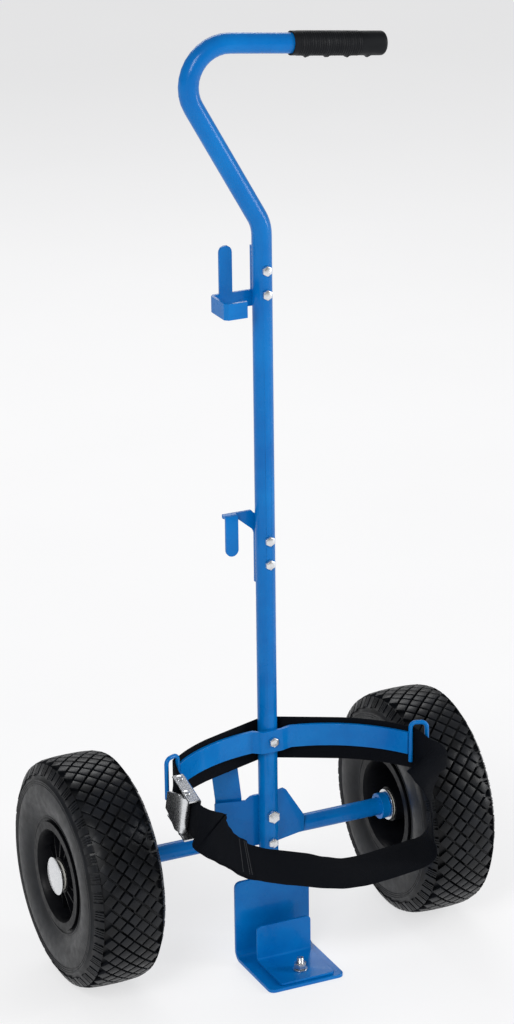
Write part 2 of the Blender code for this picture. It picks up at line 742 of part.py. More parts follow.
def build_foot_plate():
    bend = 10.0
    path = [(FOOT_BACK_Y, FOOT_TOP_Z)]
    centre = (FOOT_BACK_Y - bend, FOOT_T / 2 + bend)
    path += arc(centre, bend, 0.0, -90.0, 6)
    path.append((FOOT_FRONT_Y, FOOT_T / 2))
    path = with_corner_stations(path, 7.0, start=True, end=True)
    spans = rounded_spans(path_lengths(path), FOOT_HALF, 7.0, start=True, end=True)
    points, faces = folded_sheet(path, FOOT_T, spans, "X")
    plate = make_object("foot_plate", points, faces, "blue_paint")
    cut(plate, [cylinder_cutter("Z", 4.0 + CLEARANCE, -5.0, 10.0, (STUD_X, STUD_Y, 0.0))])


def build_foot_stop():
    bend = 4.0
    base = FOOT_T + CLEARANCE + STOP_T / 2
    wall_y = -31.0
    path = [(wall_y, 48.5)]
    path += arc((wall_y - bend, base + bend), bend, 0.0, -90.0, 4)
    path.append((-95.0, base))
    path = with_corner_stations(path, 5.0, start=True, end=True)
    spans = rounded_spans(path_lengths(path), STOP_HALF, 5.0, centre=STOP_CENTRE_X, start=True, end=True)
    points, faces = folded_sheet(path, STOP_T, spans, "X")
    stop = make_object("foot_stop", points, faces, "blue_paint")
    cut(stop, [cylinder_cutter("Z", 4.0 + CLEARANCE, -5.0, 12.0, (STUD_X, STUD_Y, 0.0))])


def build_foot_fixing():
    origin = (STUD_X, STUD_Y, 0.0)
    points, faces = lathe([(0.4, 4.0), (22.2, 4.0), (23.0, 3.2)], "Z", 20)
    make_object("foot_stud", points, faces, "zinc", origin)
    washer_z = FOOT_T + STOP_T + 2 * CLEARANCE
    bore = 4.0 + CLEARANCE
    points, faces = lathe([(washer_z, bore), (washer_z, 8.5), (washer_z + 1.6, 8.5), (washer_z + 1.6, bore)],
                          "Z", 28, closed=True)
    make_object("foot_washer", points, faces, "zinc", origin)
    nut_z = washer_z + 1.6 + CLEARANCE
    profile = [(nut_z, bore), (nut_z, 6.5), (nut_z + 5.9, 6.5), (nut_z + 6.5, 5.9), (nut_z + 6.5, bore)]

    def shape(index, angle, radius):
        return hexagon(radius, angle) if index in (1, 2) else radius

    points, faces = lathe(profile, "Z", 18, closed=True, shape=shape)
    make_object("foot_nut", points, faces, "zinc", origin)


# ---------------------------------------------------------------- strap and buckle

def buckle_place(x, y, z=0.0):
    """World position of a point given about the buckle's rear bar."""
    turn = Matrix.Rotation(math.radians(BUCKLE_DROOP_DEG), 3, "X")
    return Vector(BUCKLE_BAR) + turn @ Vector((x, y, z))


def strap_stations():
    """Centre, and direction across the webbing, along the whole strap."""
    upright = Vector((0.0, 0.0, 1.0))
    drooped = Matrix.Rotation(math.radians(BUCKLE_DROOP_DEG), 3, "X") @ upright
    stations = []

    def add(x, y, z=STRAP_REAR_Z, across=upright):
        stations.append((Vector((x, y, z)), Vector(across).normalized()))

    wrap = PIN_R + CLEARANCE + 0.5 + STRAP_T / 2
    for x, y in ((-0.2, 11.0), (-2.6, 6.5)):
        stations.append((buckle_place(x, y), drooped))
    for degrees in (165, 190, 220, 250, 280, 310, 340, 365):
        angle = math.radians(degrees)
        stations.append((buckle_place(wrap * math.cos(angle), wrap * math.sin(angle)), drooped))
    stations.append((buckle_place(4.5, 6.5), drooped))
    add(-138.9, -62.6, STRAP_REAR_Z - 2.5, upright + drooped)
    left_inner, _, _ = guide_feet(-1)
    for degrees in (176, 150, 124):
        angle = math.radians(degrees)
        add(left_inner.x + 4.7 * math.cos(angle), left_inner.y + 4.7 * math.sin(angle))
    strap_r = BAND_R + BAND_T / 2 + CLEARANCE + STRAP_T / 2
    for i in range(5):
        point = band_point(-38.4 + i * (38.4 - 18.7) / 4, strap_r)
        add(point.x, point.y)
    tube_r = REAR_FACE_Y + STRAP_T / 2
    for degrees in (108.7, 97.0, 85.3, 73.6, 61.9):
        angle = math.radians(degrees)
        add(tube_r * math.cos(angle), tube_r * math.sin(angle))
    for i in range(7):
        point = band_point(28.1 + i * (55.6 - 28.1) / 6, strap_r)
        add(point.x, point.y)
    right_inner, _, _ = guide_feet(1)
    for degrees in (62, 34, 8):
        angle = math.radians(degrees)
        add(right_inner.x + 4.7 * math.cos(angle), right_inner.y + 4.7 * math.sin(angle))
    hanging = [
        (139.2, -92.0, 257.6, (0.0, -0.1, 1.0)), (140.5, -99.0, 255.5, (0.1, -0.3, 0.95)),
        (143.6, -107.0, 248.5, (0.62, 0.15, 0.75)), (146.0, -111.0, 236.0, (0.88, 0.3, 0.3)),
        (146.4, -112.5, 222.0, (0.7, 0.7, 0.0)), (146.2, -113.6, 207.0, (0.5, 0.86, 0.0)),
        (146.0, -114.6, 192.0, (0.44, 0.9, 0.0)), (145.8, -115.5, 178.0, (0.42, 0.91, 0.0)),
        (145.5, -116.2, 166.0, (0.38, 0.92, 0.0)),
        (143.4, -116.7, 155.5, (0.25, 0.96, 0.03)), (137.0, -116.9, 147.5, (0.1, 0.98, 0.12)),
        (128.0, -116.9, 144.0, (0.0, 0.98, 0.18)), (117.0, -117.1, 142.0, (0.0, 0.98, 0.2)),
        (96.0, -117.0, 140.0, (0.0, 0.975, 0.22)), (72.0, -117.0, 138.0, (0.0, 0.975, 0.22)),
        (47.0, -117.0, 138.0, (0.0, 0.97, 0.25)), (22.0, -117.0, 143.0, (0.0, 0.93, 0.36)),
        (-2.0, -117.0, 151.0, (0.0, 0.89, 0.45)), (-26.0, -117.0, 159.0, (0.0, 0.89, 0.45)),
        (-49.0, -117.0, 166.5, (0.0, 0.89, 0.46)), (-69.0, -117.3, 175.0, (0.0, 0.86, 0.51)),
        (-86.0, -118.3, 184.0, (0.0, 0.78, 0.63)), (-97.0, -119.6, 192.8, (0.0, 0.7, 0.71)),
        (-106.0, -121.3, 203.0, (0.0, 0.58, 0.81)), (-115.0, -123.8, 213.0, (0.0, 0.42, 0.9)),
        (-122.5, -125.6, 222.0, (0.0, 0.2, 0.98)), (-128.5, -126.4, 229.2, (0.0, 0.05, 1.0)),
        (-131.5, -126.1, 232.2, (0.0, 0.0, 1.0)), (-134.4, -124.7, 234.6, (0.0, -0.05, 1.0)),
        (-136.8, -122.3, 236.6, (0.0, -0.1, 1.0)), (-138.4, -119.1, 238.2, (0.0, -0.15, 0.99)),
    ]
    for x, y, z, across in hanging:
        add(x, y, z, across)
    for y in (-42.0, -38.0, -16.0):
        stations.append((buckle_place(BUCKLE_STRAP_X, y), drooped))
    return stations


def build_strap():
    stations = strap_stations()
    rings = []
    for i, (centre, across) in enumerate(stations):
        before = stations[max(i - 1, 0)][0]
        after = stations[min(i + 1, len(stations) - 1)][0]
        tangent = (after - before).normalized()
        across = (across - tangent * across.dot(tangent)).normalized()
        normal = tangent.cross(across)
        w = across * (STRAP_W / 2)
        n = normal * (STRAP_T / 2)
        rings.append([centre - w - n, centre + w - n, centre + w + n, centre - w + n])
    points, faces = loft(rings)
    make_object("strap", points, faces, "webbing")


def hang_on_buckle(obj, x=0.0, y=0.0):
    """Moves a finished buckle part from the drawing position to its drooping place."""
    obj.rotation_euler = (math.radians(BUCKLE_DROOP_DEG), 0.0, 0.0)
    obj.location = buckle_place(x, y) * MM


def build_buckle():
    back = BUCKLE_BASE_X
    front = BUCKLE_BASE_X - BUCKLE_DEPTH
    low, high = -BUCKLE_HALF, BUCKLE_HALF
    path = [(front, low), (back - 1.5, low), (back, low + 1.5), (back, high - 1.5), (back - 1.5, high), (front, high)]
    points, faces = folded_sheet(path, BUCKLE_T, [BUCKLE_Y] * len(path), "Y")
    frame = make_object("buckle_frame", points, faces, "zinc")
    pins = (("buckle_bar", 0.0, 0.0), ("lever_pin", *LEVER_PIN))
    cut(frame, [cylinder_cutter("Z", PIN_R + CLEARANCE, -50.0, 50.0, (x, y, 0.0)) for _, x, y in pins])
    hang_on_buckle(frame)
    reach = BUCKLE_HALF + BUCKLE_T / 2 + CLEARANCE
    for name, x, y in pins:
        profile = [(-reach - 1.6, 2.0), (-reach - 1.0, 3.6), (-reach, 3.8), (-reach + 0.01, PIN_R),
                   (reach - 0.01, PIN_R), (reach, 3.8), (reach + 1.0, 3.6), (reach + 1.6, 2.0)]
        points, faces = lathe(profile, "Z", 16)
        hang_on_buckle(make_object(name, points, faces, "zinc"), x, y)


def build_lever():
    """Cam lever: round cam on the pin, with an arm that narrows to its thumb end."""
    cam_r = 5.6
    half = 24.0
    outline = arc((0.0, 0.0), cam_r, -150.0, 110.0, 20)
    outline += [(-4.2, 6.0), (-5.6, 20.0), (-7.6, 27.0), (-9.6, 26.4), (-8.2, 19.0), (-7.2, 2.0)]
    points, faces = prism(outline, "Z", -half, half)
    lever = make_object("buckle_lever", points, faces, "zinc")
    taper = [(-12.0, -half - 1), (3.0, -half - 1), (29.0, -10.0), (29.0, 10.0), (3.0, half + 1), (-12.0, half + 1)]
    points, faces = prism(taper, "X", -20.0, 20.0)
    cut(lever, [make_object("taper", points, faces, "zinc")], "INTERSECT")
    cut(lever, [cylinder_cutter("Z", PIN_R + CLEARANCE, -40.0, 40.0, (0.0, 0.0, 0.0))])
    hang_on_buckle(lever, *LEVER_PIN)


# ---------------------------------------------------------------- the whole cart

def centre_footprint():
    """Hangs every piece on one empty, which stands so that the middle of the footprint is the origin."""
    pieces = list(bpy.data.objects)
    cart = bpy.data.objects.new("cart", None)
    bpy.context.scene.collection.objects.link(cart)
    for piece in pieces:
        piece.parent = cart
    cart.location.y = -FOOTPRINT_MIDDLE_Y * MM


def build():
    clear_scene()
    build_upright()
    build_grip()
    build_upper_hook()
    build_lower_hook()
    build_band()
    build_guide("strap_guide_left", -1)
    build_guide("strap_guide_right", 1)
    build_axle_plate()
    build_band_brace()
    build_tube_fasteners()
    build_axle()
    build_wheel("left", -1)
    build_wheel("right", 1)
    build_foot_plate()
    build_foot_stop()
    build_foot_fixing()
    build_strap()
    build_buckle()
    build_lever()
    centre_footprint()


build()
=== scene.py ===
"""Looks of the single-bottle gas cylinder trolley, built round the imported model.

Sizes are in millimetres. Pieces are drawn about the axis of the upright tube, as the design is, and set
down FOOTPRINT_MIDDLE_Y further forward, so that the middle of the footprint is the origin.
"""

import json
import math

import bmesh
import bpy
from mathutils import Matrix, Vector


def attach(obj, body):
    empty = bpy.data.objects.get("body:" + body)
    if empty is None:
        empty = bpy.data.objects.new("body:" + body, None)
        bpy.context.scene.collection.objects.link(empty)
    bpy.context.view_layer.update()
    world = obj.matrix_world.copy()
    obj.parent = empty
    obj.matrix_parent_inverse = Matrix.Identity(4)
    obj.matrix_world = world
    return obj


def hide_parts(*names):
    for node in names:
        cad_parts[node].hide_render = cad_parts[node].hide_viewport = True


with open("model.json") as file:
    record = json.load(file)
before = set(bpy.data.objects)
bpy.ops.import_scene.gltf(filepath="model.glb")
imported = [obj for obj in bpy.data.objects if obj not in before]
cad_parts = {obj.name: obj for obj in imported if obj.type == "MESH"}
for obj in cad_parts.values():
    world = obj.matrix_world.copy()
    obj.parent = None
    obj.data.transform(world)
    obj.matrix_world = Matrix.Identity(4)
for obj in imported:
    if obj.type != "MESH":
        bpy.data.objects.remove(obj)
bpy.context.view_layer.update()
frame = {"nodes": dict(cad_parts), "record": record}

MM = 0.001
FOOTPRINT_MIDDLE_Y = 12.0

# Tube and grip
BEND_R = 43.0
TOP_BEND_CENTRE = (-38.4, 1012.0)
CROSSBAR_DROP_DEG = 6.4
GRIP_START = 69.5
GRIP_LENGTH = 109.5
GRIP_R = 13.0
GRIP_BORE_R = 11.3

# Wheels
AXLE_Y = 35.9
AXLE_Z = 130.0
WHEEL_X = 204.0
TYRE_R = 130.0
TREAD_HEIGHT = 4.2
BLOCK_ROOT = 1.2
DIAMONDS_ROUND = 45
DIAMOND_ROWS = 7
DIAMOND_HALF = 9.05
GROOVE = 1.7
SHOULDER_LUGS = 36
LUG_INNER = 35.4
LUG_SINK = 0.25
PLAIN_LUG = (4.4, 50.0)
SLICED_LUG = (1.2, 48.6)
SLICE_PITCH = 3.1

# Foot stud
STUD = (3.0, -73.0)
STUD_R = 4.0
STUD_PITCH = 1.25

# Strap
STRAP_W = 50.0
STRAP_T = 1.9
STRAP_REAR_Z = 258.0
BAND_CENTRE = (-15.0, -181.5)
BAND_R = 176.0
BAND_T = 4.0
BAND_ENDS_DEG = (-40.3, 56.8)
GUIDE_LEG_OFFSET = 2.9
ROUND_GUIDE_R = 4.7
ROUND_TUBE_R = 12.3
ROUND_BAND_R = BAND_R + BAND_T / 2 + 1.3
ROUND_BAR_R = 4.3
BUCKLE_STRAP_X = 4.5
LAP_ENDS_X = (-78.0, -131.0)
LAP_SHIFT = 1.2
STITCH_PITCH = 2.6
BUCKLE_BAR = (-143.5, -75.0, STRAP_REAR_Z - 7.0)
BUCKLE_DROOP_DEG = 16.0

# Camera
CAMERA = (-1564.3, -3352.7, 1938.6)
CAMERA_AZIMUTH_DEG = -24.96
CAMERA_PITCH_DEG = 20.88
CAMERA_ROLL_DEG = -0.72
CAMERA_LENS = 127.8


# ---------------------------------------------------------------- materials

class Graph:
    """A material with a few helpers to add and join its nodes."""

    def __init__(self, name):
        self.material = bpy.data.materials.new(name)
        self.material.use_nodes = True
        self.tree = self.material.node_tree
        self.shader = self.tree.nodes["Principled BSDF"]

    def add(self, kind, **inputs):
        node = self.tree.nodes.new(kind)
        for name, value in inputs.items():
            node.inputs[name.replace("_", " ")].default_value = value
        return node

    def link(self, source, target):
        self.tree.links.new(source, target)

    def place(self, space="Object", scale=(1.0, 1.0, 1.0)):
        coordinates = self.add("ShaderNodeTexCoord")
        mapping = self.add("ShaderNodeMapping", Scale=scale)
        self.link(coordinates.outputs[space], mapping.inputs["Vector"])
        return mapping.outputs["Vector"]

    def noise(self, vector, scale, detail=3.0, roughness=0.55):
        node = self.add("ShaderNodeTexNoise", Scale=scale, Detail=detail, Roughness=roughness)
        self.link(vector, node.inputs["Vector"])
        return node.outputs["Fac"]

    def remap(self, value, low, high, start=0.3, end=0.7):
        node = self.add("ShaderNodeMapRange")
        node.inputs["From Min"].default_value = start
        node.inputs["From Max"].default_value = end
        node.inputs["To Min"].default_value = low
        node.inputs["To Max"].default_value = high
        self.link(value, node.inputs["Value"])
        return node.outputs["Result"]

    def blend(self, factor, first, second):
        node = self.tree.nodes.new("ShaderNodeMix")
        node.data_type = "RGBA"
        node.inputs["A"].default_value = (*first, 1.0)
        node.inputs["B"].default_value = (*second, 1.0)
        self.link(factor, node.inputs["Factor"])
        return node.outputs["Result"]

    def bump(self, height, distance, strength=1.0, under=None):
        node = self.add("ShaderNodeBump", Strength=strength, Distance=distance)
        self.link(height, node.inputs["Height"])
        if under:
            self.link(under, node.inputs["Normal"])
        return node.outputs["Normal"]

    def combine(self, operation, first, second):
        node = self.tree.nodes.new("ShaderNodeMath")
        node.operation = operation
        for socket, value in zip(node.inputs, (first, second)):
            if isinstance(value, float):
                socket.default_value = value
            else:
                self.link(value, socket)
        return node.outputs["Value"]

    def shade(self, **sockets):
        """Sets or links the shader's inputs and returns the material."""
        for name, value in sockets.items():
            socket = self.shader.inputs[name.replace("_", " ")]
            if isinstance(value, (float, tuple)):
                socket.default_value = value
            else:
                self.link(value, socket)
        return self.material


def paint_material():
    """Glossy blue powder coat with orange peel and thin, darker patches."""
    g = Graph("blue_powder_coat")
    where = g.place()
    colour = g.blend(g.remap(g.noise(where, 22.0), 0.0, 1.0), (0.0, 0.125, 0.43), (0.0, 0.17, 0.52))
    peel = g.bump(g.noise(where, 420.0, 2.0), 0.00035, 0.35)
    return g.shade(Base_Color=colour, Roughness=g.remap(g.noise(where, 70.0), 0.24, 0.36), Normal=peel,
                   Specular_IOR_Level=0.12, Coat_Weight=0.16, Coat_Roughness=0.08)


def zinc_material():
    """Bright zinc plate: cloudy, with fine handling scratches."""
    g = Graph("zinc_plate")
    where = g.place()
    streaks = g.noise(g.place(scale=(1.0, 0.12, 1.0)), 1500.0, 2.0)
    colour = g.blend(g.remap(g.noise(where, 420.0), 0.0, 1.0), (0.66, 0.67, 0.69), (0.76, 0.77, 0.78))
    return g.shade(Base_Color=colour, Metallic=1.0, Roughness=g.remap(g.noise(where, 600.0), 0.22, 0.34),
                   Normal=g.bump(streaks, 0.00006, 0.5))


def tyre_material():
    """Moulded rubber, a little dusty, with a fine skin texture."""
    g = Graph("tyre_rubber")
    where = g.place()
    dust = g.remap(g.noise(where, 38.0, 5.0), 0.0, 1.0, 0.35, 0.75)
    colour = g.blend(dust, (0.003, 0.0035, 0.0045), (0.009, 0.0105, 0.014))
    skin = g.bump(g.noise(where, 1400.0, 2.0), 0.00012, 0.6)
    return g.shade(Base_Color=colour, Roughness=g.remap(g.noise(where, 110.0), 0.34, 0.48), Normal=skin,
                   Specular_IOR_Level=0.24)


def rim_material():
    """Black moulded plastic with a spark-eroded grain."""
    g = Graph("moulded_plastic")
    where = g.place()
    colour = g.blend(g.noise(where, 45.0), (0.002, 0.002, 0.003), (0.005, 0.0055, 0.007))
    grain = g.bump(g.noise(where, 900.0, 2.0), 0.00012, 0.7)
    return g.shade(Base_Color=colour, Roughness=g.remap(g.noise(where, 130.0), 0.34, 0.48), Normal=grain,
                   Specular_IOR_Level=0.1)


def grip_material():
    """Soft black grip rubber, slightly polished where hands rub it."""
    g = Graph("grip_rubber")
    where = g.place()
    colour = g.blend(g.noise(where, 60.0), (0.003, 0.0035, 0.0045), (0.008, 0.009, 0.011))
    pores = g.bump(g.noise(where, 1600.0, 2.0), 0.0001, 0.7)
    return g.shade(Base_Color=colour, Roughness=g.remap(g.noise(where, 90.0), 0.38, 0.6), Normal=pores,
                   Specular_IOR_Level=0.14)


def nylon_material():
    """Off-white nylon of the wheel bushes."""
    g = Graph("natural_nylon")
    where = g.place()
    colour = g.blend(g.noise(where, 120.0), (0.52, 0.51, 0.46), (0.66, 0.65, 0.61))
    return g.shade(Base_Color=colour, Roughness=g.remap(g.noise(where, 200.0), 0.35, 0.55),
                   Normal=g.bump(g.noise(where, 700.0), 0.0001, 0.5))


def webbing_material():
    """Black webbing: warp ribs along the strap crossed by weft beats, both raised in the bump, with painted
    highlight on the raised threads and painted shade between them in the colour.
    """
    g = Graph("black_webbing")
    where = g.place("UV")
    parts = g.tree.nodes.new("ShaderNodeSeparateXYZ")
    g.link(where, parts.inputs["Vector"])
    along, across = parts.outputs["X"], parts.outputs["Y"]

    def wave(value, pitch):
        node = g.tree.nodes.new("ShaderNodeMath")
        node.operation = "SINE"
        g.link(g.combine("MULTIPLY", value, 2 * math.pi / (pitch * MM)), node.inputs[0])
        return node.outputs["Value"]

    ribs = wave(across, 1.6)
    beats = wave(along, 2.2)
    weave = g.combine("MULTIPLY", ribs, beats)
    height = g.combine("ADD", g.combine("MULTIPLY", weave, 0.5), g.combine("MULTIPLY", ribs, 0.5))
    # shade is painted light: the colour follows the weave height, lighter on raised threads as painted
    # highlight and darker in the low ones as painted shade
    shade = g.remap(height, 0.0, 1.0, -1.0, 1.0)
    fibres = g.bump(g.noise(where, 2600.0, 2.0), 0.0001, 0.5)
    return g.shade(Base_Color=g.blend(shade, (0.001, 0.0015, 0.0025), (0.004, 0.005, 0.008)), Roughness=0.82,
                   Normal=g.bump(height, 0.00035, 0.8, fibres), Specular_IOR_Level=0.08)


def thread_material():
    """Dark grey thread of the stitching."""
    g = Graph("stitching_thread")
    where = g.place()
    colour = g.blend(g.noise(where, 900.0), (0.02, 0.021, 0.024), (0.05, 0.052, 0.058))
    return g.shade(Base_Color=colour, Roughness=0.7, Normal=g.bump(g.noise(where, 4000.0), 0.0001, 0.5))


PAINT = paint_material()
ZINC = zinc_material()
TYRE = tyre_material()
RIM = rim_material()
GRIP = grip_material()
NYLON = nylon_material()
WEBBING = webbing_material()
THREAD = thread_material()
SLOT_MATERIALS = {"blue_paint": PAINT, "zinc": ZINC, "grip_rubber": GRIP, "tyre": TYRE, "rim_plastic": RIM,
                  "nylon": NYLON, "webbing": WEBBING}


# ---------------------------------------------------------------- helpers

def dress_cad_nodes():
    """Gives each CAD node its finish, smooth rounds and softly rounded edges."""
    slots = {part["node"]: part["material_slot"] for part in frame["record"]["subparts"]}
    for name, obj in frame["nodes"].items():
        mesh = obj.data
        mesh.materials.clear()
        mesh.materials.append(SLOT_MATERIALS[slots[name]])
        if "custom_normal" in mesh.attributes:
            mesh.attributes.remove(mesh.attributes["custom_normal"])
        mesh.shade_smooth()
        weld = obj.modifiers.new("Join", "WELD")
        weld.merge_threshold = 0.002 * MM
        planar = obj.modifiers.new("Planar", "DECIMATE")
        planar.decimate_type = "DISSOLVE"
        planar.angle_limit = math.radians(0.6)
        edge = obj.modifiers.new("Edge", "BEVEL")
        edge.width = 0.45 * MM if slots[name] == "blue_paint" else 0.25 * MM
        edge.segments = 2
        edge.limit_method = "ANGLE"
        edge.angle_limit = math.radians(38.0)
        edge.harden_normals = True


def make_piece(name, points, faces, material, body, stands_for=(), origin=(0.0, 0.0, 0.0),
               smooth_deg=40.0):
    """One piece from points in millimetres about an origin, riding on a CAD body."""
    mesh = bpy.data.meshes.new(name)
    mesh.from_pydata([tuple(c * MM for c in p) for p in points], [], faces)
    work = bmesh.new()
    work.from_mesh(mesh)
    bmesh.ops.recalc_face_normals(work, faces=work.faces)
    work.to_mesh(mesh)
    work.free()
    mesh.shade_smooth()
    mesh.set_sharp_from_angle(angle=math.radians(smooth_deg))
    mesh.materials.append(material)
    obj = bpy.data.objects.new(name, mesh)
    bpy.context.scene.collection.objects.link(obj)
    obj.location = (origin[0] * MM, (origin[1] - FOOTPRINT_MIDDLE_Y) * MM, origin[2] * MM)
    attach(obj, body)
    if stands_for:
        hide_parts(*stands_for)
    return obj


def loft(rings, closed=False):
    """Points and faces of a skin over rings of equal length; closed joins the last ring to the first."""
    count = len(rings[0])
    points = [tuple(p) for ring in rings for p in ring]
    faces = []
    for i in range(len(rings) if closed else len(rings) - 1):
        a = i * count
        b = ((i + 1) % len(rings)) * count
        for j in range(count):
            k = (j + 1) % count
            faces.append((a + j, a + k, b + k, b + j))
    if not closed:
        last = (len(rings) - 1) * count
        faces += [tuple(range(count)), tuple(range(last, last + count))]
    return points, faces


def lathe_x(profile, segments):
    """Closed ring body about the X axis from (distance along, radius) pairs."""
    rings = []
    for a, r in profile:
        turns = [2 * math.pi * i / segments for i in range(segments)]
        rings.append([(a, r * math.sin(t), r * math.cos(t)) for t in turns])
    return loft(rings, closed=True)


def smooth_curve(points, step):
    """Catmull-Rom curve through points (tuples of any length), sampled about every step of arc length."""
    points = [Vector(p) for p in points]
    ends = [points[0] * 2 - points[1]] + points + [points[-1] * 2 - points[-2]]
    result = []
    for i in range(1, len(ends) - 2):
        a, b, c, d = ends[i - 1:i + 3]
        count = max(1, round((c - b).length / step))
        for k in range(count):
            t = k / count
            result.append(0.5 * (2 * b + (c - a) * t + (2 * a - 5 * b + 4 * c - d) * t ** 2
                                 + (3 * b - a - 3 * c + d) * t ** 3))
    return result + [points[-1]]


# ---------------------------------------------------------------- grip

def build_grip():
    """Grip with fine rings over most of its length and four finger ridges below."""
    drop = math.radians(CROSSBAR_DROP_DEG)
    along = Vector((math.cos(drop), 0.0, -math.sin(drop)))
    up = Vector((math.sin(drop), 0.0, math.cos(drop)))
    across = Vector((0.0, 1.0, 0.0))
    corner = Vector((TOP_BEND_CENTRE[0], 0.0, TOP_BEND_CENTRE[1])) + up * BEND_R
    ringed = (7.0, 0.72 * GRIP_LENGTH)
    ring_pitch = 2.6
    ridge_pitch = 24.0
    first_ridge = 0.5 * GRIP_LENGTH - 1.5 * ridge_pitch
    rings = []

    def add(distance, radius, worked=True):
        ring = []
        for i in range(48):
            angle = 2 * math.pi * i / 48
            r = radius
            if worked and ringed[0] <= distance <= ringed[1]:
                r += 0.42 * max(-0.35, math.sin(2 * math.pi * (distance - ringed[0]) / ring_pitch)) - 0.1
            if worked:
                near = min(abs(distance - first_ridge - k * ridge_pitch) for k in range(4))
                r += 2.2 * max(0.0, -math.cos(angle)) ** 10 * math.exp(-(near / 2.4) ** 2)
            ring.append(along * distance + up * (r * math.cos(angle)) + across * (r * math.sin(angle)))
        rings.append(ring)

    add(GRIP_LENGTH - 4.0, GRIP_BORE_R, False)
    add(0.3, GRIP_BORE_R, False)
    add(0.0, GRIP_R - 0.3, False)
    add(0.4, GRIP_R, False)
    steps = 230
    for i in range(steps + 1):
        add(1.0 + (GRIP_LENGTH - 5.0) * i / steps, GRIP_R)
    for i in range(1, 8):
        angle = math.pi / 2 * i / 8
        add(GRIP_LENGTH - 4.0 + 4.0 * math.sin(angle), GRIP_R - 4.0 * (1 - math.cos(angle)), False)
    add(GRIP_LENGTH, 5.0, False)
    points, faces = loft(rings)
    origin = corner + along * GRIP_START
    make_piece("grip", points, faces, GRIP, "frame", ["handle_grip"], origin)


# ---------------------------------------------------------------- tyres

# Half section over the tread blocks, from the crown, as (distance from the middle, radius)
TREAD_CURVE = [(0.0, TYRE_R), (14.0, 129.8), (27.0, 128.7), (35.0, 126.2), (40.3, 120.8), (43.0, 112.5),
               (44.3, 102.0)]


def sidewall():
    """Half profile of the carcass from the crown to the bead, as (distance from the middle, radius)."""
    h = TREAD_HEIGHT
    profile = [(0.0, TYRE_R - h), (14.0, 129.8 - h), (26.5, 128.6 - h), (33.6, 125.6 - h), (38.0, 119.6),
               (40.6, 113.6), (42.0, 110.6), (43.0, 109.8)]
    for centre in (108.6, 106.2, 103.8):
        profile += [(43.6, centre + 0.75), (44.2, centre + 0.35),
                    (44.2, centre - 0.35), (43.6, centre - 0.75)]
    profile += [(44.0, 100.5), (44.5, 95.0), (44.4, 89.0), (43.6, 83.0), (42.1, 77.0), (40.2, 72.0),
                (38.6, 68.6), (38.3, 67.6), (38.9, 66.9), (38.7, 65.9), (37.6, 65.0), (36.9, 63.6),
                (36.4, 61.0), (35.6, 58.4), (34.0, 56.6)]
    return profile


def tread_point(s, turn, height):
    """Point on the tread: s is the distance round the section from the middle, signed by side."""
    side = -1.0 if s < 0 else 1.0
    left = abs(s)
    for (a0, r0), (a1, r1) in zip(TREAD_CURVE, TREAD_CURVE[1:]):
        length = math.hypot(a1 - a0, r1 - r0)
        if left <= length or (a1, r1) == TREAD_CURVE[-1]:
            t = left / length
            normal = ((r0 - r1) / length, (a1 - a0) / length)
            a = a0 + (a1 - a0) * t + normal[0] * height
            r = r0 + (r1 - r0) * t + normal[1] * height
            return Vector((side * a, r * math.sin(turn), r * math.cos(turn)))
        left -= length
    raise ValueError(s)


def block(outline, height=0.0):
    """Rounded rubber block over (s, distance round) pairs, with its top at height over TREAD_CURVE."""
    middle = Vector((0.0, 0.0))
    for corner in outline:
        middle += Vector(corner) / len(outline)
    rings = []
    levels = [(0.0, -TREAD_HEIGHT - BLOCK_ROOT), (0.0, height - 0.45), (0.22, height - 0.1), (0.6, height)]
    for inset, level in levels:
        ring = []
        for corner in outline:
            offset = Vector(corner) - middle
            scaled = middle + offset * max(0.0, 1 - inset / offset.length)
            ring.append(tread_point(scaled.x, scaled.y / TYRE_R, level))
        rings.append(ring)
    return loft(rings)


def tread_blocks():
    """All blocks of one tyre: rows of diamonds on the crown, and plain and sliced lugs on both shoulders."""
    shapes = []
    pitch = 2 * math.pi * TYRE_R / DIAMONDS_ROUND
    half_s = DIAMOND_HALF - GROOVE
    half_w = pitch / 2 - GROOVE
    for row in range(DIAMOND_ROWS):
        s = (row - (DIAMOND_ROWS - 1) / 2) * DIAMOND_HALF
        for i in range(DIAMONDS_ROUND):
            w = (i + 0.5 * (row % 2)) * pitch
            shapes.append(block([(s - half_s, w), (s, w - half_w), (s + half_s, w), (s, w + half_w)]))
    lug_pitch = 2 * math.pi * TYRE_R / SHOULDER_LUGS
    for side in (-1, 1):
        for i in range(SHOULDER_LUGS):
            w = (i + 0.25 * side) * lug_pitch
            lugs = [(w, *PLAIN_LUG)]
            lugs += [(w + lug_pitch / 2 + k * SLICE_PITCH, *SLICED_LUG) for k in (-1, 0, 1)]
            for middle, half_width, outer in lugs:
                outline = [(LUG_INNER, middle - half_width), (outer, middle - half_width + 0.2),
                           (outer, middle + half_width - 0.2), (LUG_INNER, middle + half_width)]
                shapes.append(block([(side * s, t) for s, t in outline], -LUG_SINK))
    return shapes


def merged(shapes):
    """Points and faces of several shapes as one mesh."""
    points, faces = [], []
    for shape_points, shape_faces in shapes:
        shift = len(points)
        points += shape_points
        faces += [tuple(i + shift for i in face) for face in shape_faces]
    return points, faces


def build_tyre(label, side):
    """Carcass with an open inside, under its tread blocks."""
    half = sidewall()
    outer = half + [(-a, r) for a, r in reversed(half) if a > 0]
    inner = [(-28.0, 57.0), (-36.0, 88.0), (-30.0, 116.0), (0.0, 121.0)]
    inner += [(-a, r) for a, r in reversed(inner[:-1])]
    carcass = lathe_x(outer + inner, 144)
    points, faces = merged([carcass] + tread_blocks())
    origin = (side * WHEEL_X, AXLE_Y, AXLE_Z)
    make_piece(f"tyre_tread_{label}", points, faces, TYRE, f"wheel_{label}",
               [f"tyre_{label}"], origin, 32.0)


# ---------------------------------------------------------------- foot stud

